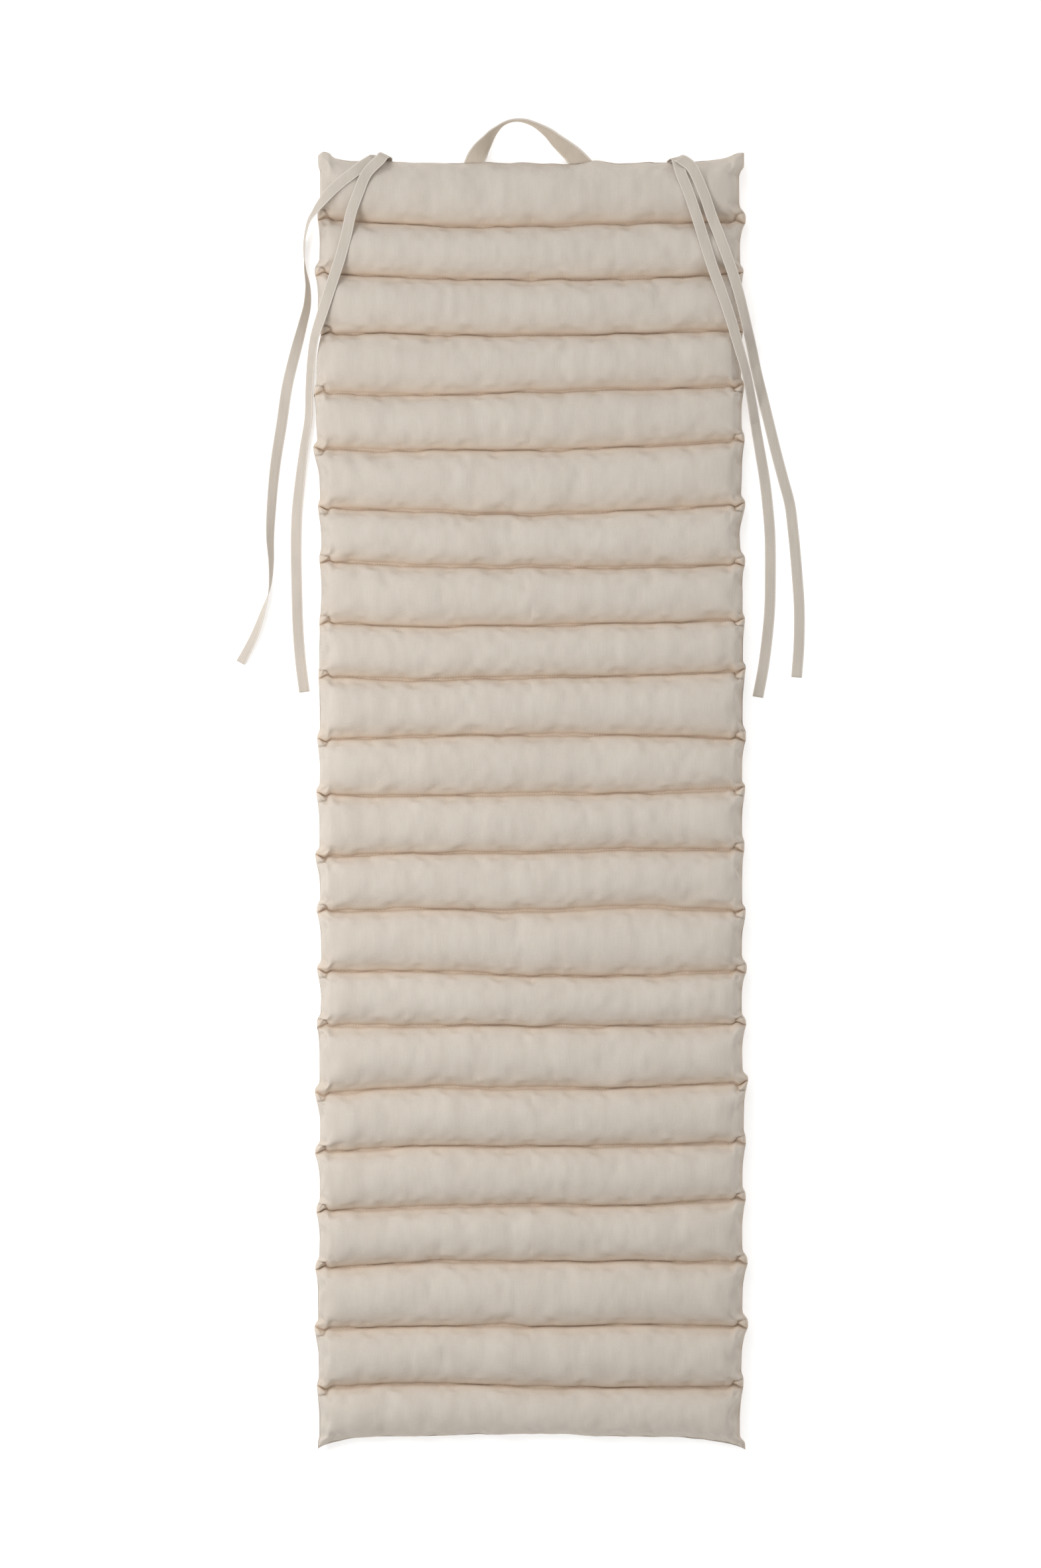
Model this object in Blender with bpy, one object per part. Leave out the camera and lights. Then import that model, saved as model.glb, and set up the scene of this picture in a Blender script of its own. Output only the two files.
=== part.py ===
"""A channel-quilted roll-up floor mattress, lying face up.

X runs across the mattress, +Y points to the head end with the carrying handle, +Z is up.
Units are metres. The origin is on the ground, under the middle of everything that is built.
"""

import bpy
import numpy as np

# Plan tables count in steps: x from the left, y from the head end down to the foot.
# They give each place as it is seen from the view height, straight above the plan's middle.
step = 0.000945
plan_middle = (784.0, 1181.0)
view_height = 5.27

# Heights and sizes of the filled pad.
pad_width = 0.600
channel_pitch = 0.0822
crown_height = 0.045
seam_top = 0.015
seam_bottom = 0.011
edge_height = 0.016
rim_reach = 0.005
edge_slack = 0.001
side_round = 0.048
foot_round = 0.020
ear_reach = 0.0066
# The corner tips: how far they stand out beyond the head edge and the foot edge, and how fast they
# die away.
head_tips = 0.0151
foot_tips = 0.0203
tip_reach = 0.0425
tip_power = 0.8
# The blunt hump beside the tip at the head edge's left end: its height, place and reach along the edge.
hump_height = 0.0045
hump_place = 0.012
hump_reach = 0.0065
# Shapes of the crown over a channel, of the rounded sides and of the grooves, as powers and a share.
crown_power = 2.3
crown_root = 1.9
side_power = 2.2
round_power = 2.0
groove_share = 0.17

# Sizes of the tapes and the strap.
tape_width = 0.0155
tape_thickness = 0.0015
tape_clearance = 0.0008
strap_width = 0.028
strap_thickness = 0.0024
strap_cut_reach = 0.025
strap_points = 41
sample_spacing = 0.010
loop_points = 15
fine_count = 1200
settle_length = 0.030
settle_rounds = 3
bridge_reach = 0.030
width_stations = (-1.0, -0.5, 0.0, 0.5, 1.0)

# Faces that meet at less than this many degrees are shaded smooth.
smooth_angle = 50.0

# How far the middle of the model is from the middle of the plan tables.
origin_shift = (0.000176, 0.000023)

# The head edge, the cross seams and the foot edge: place along the mattress at five stations from
# left to right, then the side's place at the ear on the left end and on the right end, and how far
# each ear is shifted along the side from its seam, towards the foot where it is over 0.
seam_columns = (
    "left", "left_quarter", "middle", "right_quarter", "right",
    "ear_left", "ear_right", "shift_left", "shift_right",
)
seam_rows = (
    (246.5, 246.5, 245.5, 246.0, 246.0, 482.0, 1119.0, 0.0, 0.0),
    (329.0, 341.0, 341.0, 337.0, 334.5, 478.0, 1123.5, -8.0, -6.0),
    (413.0, 420.0, 422.5, 419.0, 413.5, 474.0, 1120.0, -8.0, -2.0),
    (503.0, 504.0, 506.3, 503.0, 498.0, 483.0, 1119.0, 0.0, 0.0),
    (592.5, 595.0, 591.0, 587.0, 581.5, 473.0, 1121.0, 1.0, 7.0),
    (676.0, 678.5, 677.7, 673.5, 663.0, 472.0, 1121.5, 7.0, -2.0),
    (765.0, 771.0, 775.0, 770.0, 760.0, 479.0, 1122.5, 5.0, 7.0),
    (846.0, 853.0, 854.0, 855.0, 850.0, 481.0, 1122.5, -7.0, -7.0),
    (938.5, 944.0, 942.0, 938.5, 934.0, 481.0, 1122.0, 0.0, 9.0),
    (1019.0, 1023.5, 1019.5, 1016.7, 1010.0, 479.5, 1123.0, -3.0, 0.0),
    (1115.0, 1108.5, 1106.7, 1107.0, 1114.0, 477.5, 1123.5, 4.0, -6.0),
    (1196.0, 1198.0, 1196.7, 1195.0, 1187.0, 476.5, 1122.5, 2.0, 8.0),
    (1290.0, 1285.0, 1284.5, 1279.0, 1280.0, 475.0, 1121.5, 7.0, -9.0),
    (1372.0, 1369.5, 1372.0, 1366.5, 1372.0, 477.0, 1123.0, -3.0, 10.0),
    (1462.0, 1463.0, 1469.2, 1469.0, 1463.0, 477.5, 1125.0, 4.0, -7.0),
    (1545.0, 1544.0, 1545.0, 1544.5, 1541.0, 477.5, 1124.0, -5.0, 1.0),
    (1648.0, 1637.5, 1639.0, 1637.5, 1630.0, 474.5, 1127.0, 3.0, 0.0),
    (1735.0, 1725.0, 1725.7, 1724.0, 1720.5, 474.5, 1123.5, 1.0, -2.0),
    (1824.0, 1817.3, 1814.0, 1814.5, 1805.0, 476.5, 1123.5, 0.0, -3.0),
    (1910.0, 1899.7, 1899.7, 1899.0, 1901.0, 475.0, 1126.0, 0.0, 0.0),
    (2001.0, 1996.3, 1996.5, 1995.0, 1998.0, 474.0, 1127.0, 7.0, -5.0),
    (2090.0, 2082.3, 2087.0, 2090.0, 2087.0, 477.5, 1120.0, 4.0, -8.0),
    (2161.0, 2161.0, 2160.5, 2162.5, 2162.5, 481.0, 1121.0, 0.0, 0.0),
)
# The two sides halfway along each channel, head to foot.
side_columns = ("left", "right")
side_rows = (
    (482.0, 1113.5), (481.5, 1114.5), (478.5, 1116.0), (477.5, 1116.0), (476.0, 1117.0), (481.0, 1117.5),
    (483.5, 1114.0), (484.0, 1118.5), (480.5, 1119.0), (481.5, 1118.5), (481.5, 1118.0), (481.0, 1117.5),
    (481.5, 1118.0), (483.5, 1117.5), (483.5, 1117.0), (481.0, 1118.0), (482.0, 1120.5), (481.5, 1118.5),
    (481.5, 1118.0), (479.0, 1118.5), (480.0, 1117.0), (481.0, 1114.5),
)
# Shares of a channel, seam to seam, and distances in from each side, that the pad's rows and columns take.
channel_shares = (0.0, 0.06, 0.17, 0.33, 0.5, 0.67, 0.83, 0.94)
side_distances = (0.0, 0.0035, 0.010, 0.020, 0.034, 0.058, 0.110, 0.195)

# Where each tape comes out of the head edge: x, y, lowest and highest point of its loop over the edge
# and the loop's reach out from it in millimetres, and its heading after the loop, in degrees from
# straight down the mattress towards the right.
tape_roots = {
    "tie_left_inner": (586.0, 244.2, 4.0, 49.5, 7.0, -37.0),
    "tie_left_outer": (579.0, 243.4, 10.0, 41.0, 4.0, -54.0),
    "tie_right_inner": (1012.5, 243.3, 10.0, 41.0, 2.6, 22.0),
    "tie_right_outer": (1020.0, 242.2, 4.0, 49.5, 6.8, 34.0),
}
# The rest of each tape, in the columns named here. "over" is extra clearance in millimetres over what
# lies below. "tilt" is about the tape's own length in degrees, with its left edge up where it is over 0.
tape_columns = ("x", "y", "over", "tilt")
tie_left_inner = (
    (539.6, 291.0, 0.6, 0.0), (529.0, 320.0, 0.3, 0.0), (521.6, 354.0, 0.0, 0.0),
    (512.7, 387.0, 0.0, 0.0), (502.0, 420.0, 0.0, 0.0), (492.0, 451.0, 0.0, -8.0),
    (482.0, 481.6, 0.0, -18.0), (474.0, 507.0, 0.0, -30.0), (468.5, 545.0, 0.0, -38.0),
    (465.5, 590.0, 0.0, -42.0), (464.5, 630.0, 0.0, -42.0), (458.0, 672.0, 0.0, -40.0),
    (452.0, 722.0, 0.0, -24.0), (447.0, 775.0, 0.0, -10.0), (446.0, 833.0, 0.0, 0.0),
    (447.0, 892.0, 0.0, 0.0), (449.0, 951.0, 0.0, 0.0), (453.0, 1000.0, 0.0, 0.0),
    (458.5, 1042.5, 0.0, 0.0),
)
tie_left_outer = (
    (517.0, 269.0, 0.0, 0.0), (501.0, 285.0, 0.0, -8.0), (487.6, 300.6, 0.0, -28.0),
    (475.0, 317.0, 0.0, -50.0), (466.0, 331.0, 0.0, -65.0), (460.5, 350.0, 0.0, -76.0),
    (457.8, 380.0, 0.0, -84.0), (459.5, 405.0, 0.0, -98.0), (463.5, 432.0, 0.0, -112.0),
    (462.5, 460.0, 0.0, -127.0), (455.5, 490.0, 0.0, -142.0), (445.0, 530.0, 0.0, -166.0),
    (433.0, 580.0, 0.0, -176.0), (424.0, 640.0, 0.0, -170.0), (414.7, 700.0, 0.0, -158.0),
    (409.0, 760.0, 0.0, -144.0), (406.7, 810.0, 0.0, -134.0), (408.2, 850.0, 0.0, -115.0),
    (405.8, 886.0, 0.0, -93.0), (396.5, 920.0, 0.0, -64.0), (382.0, 960.0, 0.0, -42.0),
    (362.5, 998.5, 0.0, -30.0),
)
tie_right_inner = (
    (1035.0, 284.0, 0.0, 0.0), (1047.5, 320.0, 0.0, 0.0), (1060.0, 360.0, 0.0, 0.0),
    (1072.5, 400.0, 0.0, 0.0), (1087.0, 440.0, 0.0, 4.0), (1100.5, 480.0, 0.0, 10.0),
    (1112.0, 520.0, 0.0, 20.0), (1123.5, 560.0, 0.0, 28.0), (1131.5, 600.0, 0.0, 30.0),
    (1138.0, 640.0, 0.0, 24.0), (1144.7, 680.0, 0.0, 16.0), (1151.3, 720.0, 0.0, 8.0),
    (1156.0, 760.0, 0.0, 0.0), (1159.3, 800.0, 0.0, 0.0), (1160.2, 860.0, 0.0, 0.0),
    (1159.0, 920.0, 0.0, 0.0), (1155.0, 965.0, 0.0, 0.0), (1149.0, 1010.0, 0.0, 0.0),
    (1141.5, 1050.0, 0.0, 0.0),
)
tie_right_outer = (
    (1050.0, 269.0, 2.0, 0.0), (1056.0, 281.0, 1.0, 0.0), (1063.5, 300.0, 0.3, 0.0),
    (1070.0, 320.0, 0.0, 0.0), (1085.5, 360.0, 0.0, 0.0), (1100.0, 400.0, 0.0, 6.0),
    (1112.5, 440.0, 0.0, 16.0), (1122.5, 480.0, 0.0, 22.0), (1131.5, 520.0, 0.0, 22.0),
    (1140.0, 562.0, 0.0, 18.0), (1149.2, 600.0, 0.0, 12.0), (1158.8, 640.0, 0.0, 8.0),
    (1168.5, 680.0, 0.0, 6.0), (1179.0, 720.0, 0.0, 4.0), (1189.5, 760.0, 0.0, 0.0),
    (1194.5, 800.0, 0.0, 0.0), (1200.0, 860.0, 0.0, 0.0), (1203.8, 920.0, 0.0, 0.0),
    (1203.0, 975.0, 0.0, 0.0), (1199.7, 1020.5, 0.0, 0.0),
)
# The handle strap, root to root, in the columns named here. "height" is that of its middle in
# millimetres. "twist" is in degrees, with the loop's outer edge up where it is over 0.
strap_columns = ("x", "y", "height", "twist")
strap_rows = (
    (714.5, 244.3, 16.0, 0.0), (717.5, 236.0, 16.0, 24.0), (722.5, 226.5, 16.5, 46.0),
    (731.5, 212.5, 17.0, 62.0), (742.0, 199.5, 17.5, 78.0), (754.5, 189.0, 18.0, 89.0),
    (768.0, 182.5, 18.0, 94.0), (782.0, 180.5, 18.0, 95.0), (796.0, 182.8, 18.0, 92.0),
    (811.0, 190.0, 18.0, 86.0), (828.0, 202.5, 17.5, 76.0), (845.0, 217.5, 17.0, 63.0),
    (860.0, 230.5, 16.5, 50.0), (868.5, 237.0, 16.0, 26.0), (874.5, 244.3, 16.0, 0.0),
)

cloth_colour = (0.60, 0.53, 0.45)
tape_colour = (0.58, 0.52, 0.44)


def clear_scene():
    for item in list(bpy.data.objects):
        bpy.data.objects.remove(item, do_unlink=True)


def smooth_curve(values, places, wanted):
    """A smooth curve through the values at rising places: each span is a cubic whose slopes are
    the mean slopes of its neighbours."""
    values = np.asarray(values, float)
    places = np.asarray(places, float)
    slopes = np.gradient(values, places, axis=0)
    span = np.clip(np.searchsorted(places, wanted, side="right") - 1, 0, len(places) - 2)
    width = places[span + 1] - places[span]
    share = (wanted - places[span]) / width
    if values.ndim > 1:
        width = width[:, None]
        share = share[:, None]
    start = values[span] * (1 + 2 * share) + slopes[span] * width * share
    end = values[span + 1] * (3 - 2 * share) - slopes[span + 1] * width * (1 - share)
    return start * (1 - share) ** 2 + end * share ** 2


def column(rows, names, wanted):
    """One named column of a table."""
    return np.array([row[names.index(wanted)] for row in rows])


def corner_pull(distance):
    """Share of a corner tip's reach that is left at a distance from the side."""
    return np.exp(-(np.maximum(distance, 0.0) / tip_reach) ** tip_power)


def seam_lines(share):
    """Places of all cross seams along the mattress at shares of its width, one row for each seam."""
    names = seam_columns[:seam_columns.index("ear_left")]
    stations = np.linspace(0.0, 1.0, len(names))
    values = np.stack([column(seam_rows, seam_columns, name) for name in names])
    lines = smooth_curve(values, stations, share).T
    pull = corner_pull(share * pad_width) + corner_pull((1 - share) * pad_width)
    hump = np.exp(-((share * pad_width - hump_place) / hump_reach) ** 2)
    lines[0] -= (head_tips * pull + hump_height * hump) / step
    lines[-1] += foot_tips / step * pull
    return lines


def side_lines(along):
    """Left and right side at places counted in channels: the middle value, and an ear at each seam."""
    middles = np.arange(len(side_rows)) + 0.5
    nearest = np.clip(np.rint(along).astype(int), 0, len(side_rows))
    result = []
    for side in side_columns:
        plain = np.interp(along, middles, column(side_rows, side_columns, side))
        ear = column(seam_rows, seam_columns, "ear_" + side)[nearest]
        shift = column(seam_rows, seam_columns, "shift_" + side)[nearest] * step
        weight = np.exp(-(((along - nearest) * channel_pitch - shift) / ear_reach) ** 2)
        result.append(plain + (ear - plain) * weight)
    return result


def channel_profile(along):
    """Height of the crown over a channel, 0 at its seams and 1 halfway, with steep walls."""
    part = along - np.floor(along)
    return (1 - np.abs(2 * part - 1) ** crown_power) ** (1 / crown_root)


def side_profile(distance, reach, power):
    """Height over the rounded side, 0 at the edge and 1 from the reach inwards."""
    share = np.clip(1 - distance / reach, 0, 1)
    return (1 - share ** power) ** (1 / power)


def pad_heights(along, distance):
    """Top and underside of the pad at places counted in channels and distances from the nearer side."""
    channels = len(side_rows)
    part = along - np.floor(along)
    end_distance = np.minimum(along, channels - along) * channel_pitch
    rim = np.exp(-np.minimum(distance, end_distance) / rim_reach)
    line = seam_top + (edge_height - seam_top) * rim
    crown = channel_profile(along) * side_profile(distance, side_round, side_power)
    top = line + (crown_height - line) * crown
    groove = side_profile(np.minimum(part, 1 - part), groove_share, round_power)
    base = seam_bottom + (edge_height - seam_bottom) * rim
    bottom = base * (1 - groove * side_profile(distance, foot_round, round_power))
    return top, bottom


def to_world(x, y):
    """Metres from the origin for a place in the plan tables."""
    return (x - plan_middle[0]) * step - origin_shift[0], (plan_middle[1] - y) * step - origin_shift[1]


def lowered(x, y, height):
    """Place in the plan, at the height of the edge seam, below a point that is seen at a greater height."""
    share = 1 - (height - edge_height) / view_height
    return plan_middle[0] + (x - plan_middle[0]) * share, plan_middle[1] + (y - plan_middle[1]) * share


def pad_height_at(x, y):
    """Height of the pad's top over each place in the plan tables, 0 beside the pad."""
    left, right = (column(side_rows, side_columns, side).mean() for side in side_columns)
    share = np.clip((x - left) / (right - left), 0, 1)
    lines = seam_lines(share)
    counts = np.arange(len(lines))
    along = np.array([np.interp(place, lines[:, n], counts) for n, place in enumerate(y)])
    low, high = side_lines(along)
    distance = np.minimum(x - low, high - x) * step
    top, _ = pad_heights(along, np.maximum(distance, 0))
    beyond = np.maximum(lines[0] - y, y - lines[-1]) * step
    return np.where((distance > -edge_slack) & (beyond < edge_slack), top, 0.0)


def raised(world_x, world_y, height):
    """Place in the plan tables at which a point at a height is seen."""
    size = step * (1 - (height - edge_height) / view_height)
    x = plan_middle[0] + (world_x + origin_shift[0]) / size
    y = plan_middle[1] - (world_y + origin_shift[1]) / size
    return x, y


def make_object(name, points, faces, material):
    mesh = bpy.data.meshes.new(name)
    mesh.from_pydata([tuple(point) for point in points], [], faces)
    mesh.validate()
    mesh.shade_smooth()
    mesh.set_sharp_from_angle(angle=np.radians(smooth_angle))
    mesh.materials.append(material)
    item = bpy.data.objects.new(name, mesh)
    bpy.context.collection.objects.link(item)
    return item


def make_material(name, colour, roughness):
    material = bpy.data.materials.new(name)
    material.use_nodes = True
    shader = material.node_tree.nodes["Principled BSDF"]
    shader.inputs["Base Color"].default_value = (*colour, 1.0)
    shader.inputs["Roughness"].default_value = roughness
    shader.inputs["Metallic"].default_value = 0.0
    return material


def grid_faces(index):
    """The four-sided faces of a grid of point numbers. The face at each corner of the grid is two
    triangles that meet along the line to that corner, so that a pointed corner keeps its thickness."""
    corners = (index[:-1, :-1], index[1:, :-1], index[1:, 1:], index[:-1, 1:])
    quads = np.stack(corners, axis=-1)
    faces = []
    for row, column_at, first in ((0, 0, 0), (0, -1, 3), (-1, 0, 1), (-1, -1, 2)):
        a, b, c, d = np.roll(quads[row, column_at], -first).tolist()
        faces += [[a, b, c], [a, c, d]]
    whole = np.ones(quads.shape[:2], bool)
    whole[[0, 0, -1, -1], [0, -1, 0, -1]] = False
    return faces + quads[whole].tolist()


def make_pad(material):
    """The filled pad: a top grid and an underside grid over the same plan, joined along the edge seam."""
    channels = len(side_rows)
    along = (np.arange(channels)[:, None] + np.array(channel_shares)).ravel()
    along = np.append(along, channels)
    near = np.array(side_distances) / pad_width
    share = np.concatenate([near, [0.5], 1 - near[::-1]])
    low, high = side_lines(along)
    x = low[:, None] + (high - low)[:, None] * share[None, :]
    lines = seam_lines(share)
    counts = np.arange(channels + 1)
    y = np.stack([np.interp(along, counts, lines[:, n]) for n in range(len(share))], axis=1)
    distance = np.minimum(x - low[:, None], high[:, None] - x) * step
    top, bottom = pad_heights(np.broadcast_to(along[:, None], x.shape), np.maximum(distance, 0))
    world_x, world_y = to_world(x, y)
    rows, columns = x.shape
    rim = np.zeros((rows, columns), bool)
    rim[0] = rim[-1] = True
    rim[:, 0] = rim[:, -1] = True
    top[rim] = edge_height
    points = np.stack([world_x, world_y, top], axis=-1).reshape(-1, 3)
    upper = np.arange(rows * columns).reshape(rows, columns)
    lower = upper.copy()
    inner = ~rim
    lower[inner] = rows * columns + np.arange(inner.sum())
    under = np.stack([world_x[inner], world_y[inner], bottom[inner]], axis=-1)
    points = np.concatenate([points, under])
    faces = grid_faces(upper) + [face[::-1] for face in grid_faces(lower)]
    return make_object("mattress", points, faces, material)


def sweep(name, path, across, normal, width, thickness, material):
    """A flat strip along a path: a rectangle of the width and thickness at each point, capped at both
    ends."""
    half = across * (width / 2)
    rise = normal * (thickness / 2)
    corners = np.stack(
        [path - half - rise, path + half - rise, path + half + rise, path - half + rise], axis=1)
    points = corners.reshape(-1, 3)
    faces = [(0, 1, 2, 3)]
    for base in range(0, len(points) - 4, 4):
        for side in range(4):
            after = (side + 1) % 4
            faces.append((base + side, base + 4 + side, base + 4 + after, base + after))
    last = len(points) - 4
    faces.append((last + 3, last + 2, last + 1, last))
    return make_object(name, points, faces, material)


def unit_rows(rows):
    return rows / np.linalg.norm(rows, axis=1)[:, None]


def running_length(points):
    """Length from the first point to each point."""
    return np.concatenate([[0], np.cumsum(np.linalg.norm(np.diff(points, axis=0), axis=1))])


def make_loop(root):
    """The first stretch of a tape, out of the head edge and back over it: points, directions across the
    strip and directions out of its face. It winds round a lying oval whose axis splits the turn evenly,
    so that the flat tape leaves along its heading."""
    x, y, low, high, reach, heading = root
    low = low / 1000
    rise = high / 2000 - low / 2
    reach = reach / 1000
    start = np.array(to_world(x, y))
    away = np.array([np.sin(np.radians(heading)), -np.cos(np.radians(heading))])
    outward = np.array([0.0, 1.0]) - away
    outward = outward / np.linalg.norm(outward)
    axis = np.array([outward[1], -outward[0]])
    slip = axis[1] / outward[1]
    turn = np.linspace(0, np.pi, loop_points)
    speed = np.hypot(reach * np.cos(turn), rise * np.sin(turn))
    arc = np.concatenate([[0], np.cumsum((speed[1:] + speed[:-1]) / 2 * np.diff(turn))])
    plan = start + np.outer(reach * np.sin(turn), outward) + np.outer(slip * arc, axis)
    points = np.column_stack([plan, low + rise * (1 - np.cos(turn))])
    run = np.outer(reach * np.cos(turn), outward) + np.outer(slip * speed, axis)
    forward = np.column_stack([run, rise * np.sin(turn)])
    normal = unit_rows(np.column_stack([np.outer(rise * np.sin(turn), outward), -reach * np.cos(turn)]))
    return points, np.cross(unit_rows(forward), normal), normal


def strip_frame(path, tilt):
    """Direction across the strip and out of its face at each point: across is level and square to the
    plan of the path, then tilted about the path."""
    forward = unit_rows(np.gradient(path, axis=0))
    level = unit_rows(np.column_stack([forward[:, 1], -forward[:, 0], np.zeros(len(path))]))
    up = np.cross(level, forward)
    angle = np.radians(tilt)[:, None]
    across = level * np.cos(angle) + up * np.sin(angle)
    return across, np.cross(across, forward)


def slide(values, reach, how):
    """The most, or the mean, of the values within a reach on both sides of each."""
    padded = np.pad(values, reach, mode="edge")
    windows = np.lib.stride_tricks.sliding_window_view(padded, 2 * reach + 1)
    return how(windows, axis=1)


def ground_under(x, y, tilt, spacing):
    """Highest part of the pad under a tape's width, as a curve that bridges the seams."""
    run = np.stack([x, y], axis=1)
    forward = unit_rows(np.gradient(run, axis=0))
    half = tape_width / 2 / step * np.abs(np.cos(np.radians(tilt)))
    ground = np.zeros(len(x))
    for share in width_stations:
        aside = half * share
        ground = np.maximum(ground, pad_height_at(x - forward[:, 1] * aside, y + forward[:, 0] * aside))
    reach = int(bridge_reach / spacing)
    return slide(slide(ground, reach, np.max), reach, np.mean)


def make_tape(name, table, material):
    """A tape: sewn at the head edge, over it, and down across the pad and the ground. Past the loop its
    lowest edge stays clear of whatever is below."""
    points, across, normal = make_loop(tape_roots[name])
    seen = raised(*points[-1])
    values = [column(table, tape_columns, name) for name in ("x", "y", "over", "tilt")]
    first = (*seen, values[2][0], 0.0)
    rows = np.column_stack([np.append(start, rest) for start, rest in zip(first, values)])
    knots = running_length(rows[:, :2] * step)
    fine = np.linspace(0, knots[-1], fine_count)
    seen_x, seen_y, over, tilt = smooth_curve(rows, knots, fine).T
    lean = np.radians(tilt)
    stand = np.abs(np.sin(lean)) * tape_width / 2 + np.abs(np.cos(lean)) * tape_thickness / 2
    share = np.clip(fine / settle_length, 0, 1)
    settled = share * share * (3 - 2 * share)
    z = np.full(len(fine), crown_height)
    for _ in range(settle_rounds):
        x, y = lowered(seen_x, seen_y, z)
        ground = ground_under(x, y, tilt, fine[1])
        lying = ground + stand + over / 1000 + np.where(ground > edge_slack, tape_clearance, 0.0)
        z = points[-1, 2] * (1 - settled) + lying * settled
    path = np.column_stack([*to_world(*lowered(seen_x, seen_y, z)), z])
    length = running_length(path)
    wanted = np.linspace(0, length[-1], int(length[-1] / sample_spacing))
    path = np.column_stack([np.interp(wanted, length, path[:, n]) for n in range(3)])
    run_across, run_normal = strip_frame(path, np.interp(wanted, length, tilt))
    points = np.concatenate([points, path[1:]])
    across = np.concatenate([across, run_across[1:]])
    normal = np.concatenate([normal, run_normal[1:]])
    return sweep(name, points, across, normal, tape_width, tape_thickness, material)


def make_handle(material):
    """The handle strap: flat at both roots, where its ends are cut along the head edge, and turned on
    its edge over the top of the loop."""
    rows = np.column_stack([column(strap_rows, strap_columns, name) for name in strap_columns])
    length = running_length(rows[:, :2] * step)
    x, y, height, twist = smooth_curve(rows, length, np.linspace(0, length[-1], strap_points)).T
    world_x, world_y = to_world(x, y)
    path = np.stack([world_x, world_y, height / 1000], axis=1)
    forward = unit_rows(np.gradient(path, axis=0))
    level = unit_rows(np.stack([forward[:, 1], -forward[:, 0], np.zeros(len(path))], axis=1))
    up = np.cross(level, forward)
    places = running_length(path)
    weight = np.clip(1 - np.minimum(places, places[-1] - places) / strap_cut_reach, 0, 1)[:, None]
    edge = np.stack([np.sign(level[:, 0]), np.zeros(len(path)), np.zeros(len(path))], axis=1)
    cut = level * (1 - weight) + edge * weight
    cut = cut / (cut * level).sum(axis=1)[:, None]
    angle = -np.radians(twist)[:, None]
    across = cut * np.cos(angle) + up * np.sin(angle)
    normal = unit_rows(up * np.cos(angle) - level * np.sin(angle))
    return sweep("handle", path, across, normal, strap_width, strap_thickness, material)


def main():
    clear_scene()
    cloth = make_material("cover_cloth", cloth_colour, 0.9)
    tape = make_material("tape_cloth", tape_colour, 0.88)
    make_pad(cloth)
    make_handle(tape)
    make_tape("tie_left_inner", tie_left_inner, tape)
    make_tape("tie_left_outer", tie_left_outer, tape)
    make_tape("tie_right_inner", tie_right_inner, tape)
    make_tape("tie_right_outer", tie_right_outer, tape)


main()
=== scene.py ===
import bpy
import numpy as np
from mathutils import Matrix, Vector


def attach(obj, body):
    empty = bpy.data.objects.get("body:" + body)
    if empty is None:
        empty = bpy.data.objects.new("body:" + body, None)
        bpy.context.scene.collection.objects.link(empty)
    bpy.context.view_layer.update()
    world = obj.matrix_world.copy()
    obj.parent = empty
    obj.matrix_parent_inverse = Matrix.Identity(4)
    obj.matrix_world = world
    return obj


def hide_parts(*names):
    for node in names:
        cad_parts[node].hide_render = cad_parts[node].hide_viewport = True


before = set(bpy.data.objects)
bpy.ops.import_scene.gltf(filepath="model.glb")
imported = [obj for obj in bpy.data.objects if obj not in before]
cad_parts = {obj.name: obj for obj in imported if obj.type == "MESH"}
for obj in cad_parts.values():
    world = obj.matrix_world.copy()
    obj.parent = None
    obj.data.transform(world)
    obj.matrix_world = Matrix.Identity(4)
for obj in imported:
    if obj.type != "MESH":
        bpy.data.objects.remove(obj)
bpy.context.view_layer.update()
print("frame loaded")

# The plan tables count in steps, x from the left and y from the head end down, as seen from the camera.
plan = {
    "step": 0.000945,
    "middle": (784.0, 1181.0),
    "viewHeight": 5.27,
    "shift": (0.000176, 0.000023),
    "edgeHeight": 0.016,
}


def column(table, name):
    # One named column of a table with its names in the first row. What a short row leaves out is 0.
    place = table[0].index(name)
    return np.array([row[place] if place < len(row) else 0 for row in table[1:]], float)


def smoothCurve(values, places, wanted):
    # Cubic spans through the values at rising places, with the mean slope of both neighbours at each.
    values = np.asarray(values, float)
    places = np.asarray(places, float)
    slopes = np.gradient(values, places, axis=0)
    span = np.clip(np.searchsorted(places, wanted, side="right") - 1, 0, len(places) - 2)
    width = places[span + 1] - places[span]
    share = (wanted - places[span]) / width
    if values.ndim > 1:
        width, share = width[:, None], share[:, None]
    start = values[span] * (1 + 2 * share) + slopes[span] * width * share
    end = values[span + 1] * (3 - 2 * share) - slopes[span + 1] * width * (1 - share)
    return start * (1 - share) ** 2 + end * share**2


def bell(value, width):
    # 1 at a value of 0, falling on both sides by the exponential of the negative square.
    return np.exp(-((value / width) ** 2))


def rising(distance, reach):
    # 0 at no distance, rising towards 1 as a falling exponential leaves it.
    return 1 - np.exp(-distance / reach)


def toWorld(x, y):
    # Metres from the origin for a place in the plan tables.
    shiftX, shiftY = plan["shift"]
    middleX, middleY = plan["middle"]
    return (x - middleX) * plan["step"] - shiftX, (middleY - y) * plan["step"] - shiftY


def lowered(x, y, height):
    # The plan place at the edge seam's height below a point seen at a greater height: nearer the middle by
    # its share.
    share = 1 - (height - plan["edgeHeight"]) / plan["viewHeight"]
    middleX, middleY = plan["middle"]
    return middleX + (x - middleX) * share, middleY + (y - middleY) * share


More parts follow.
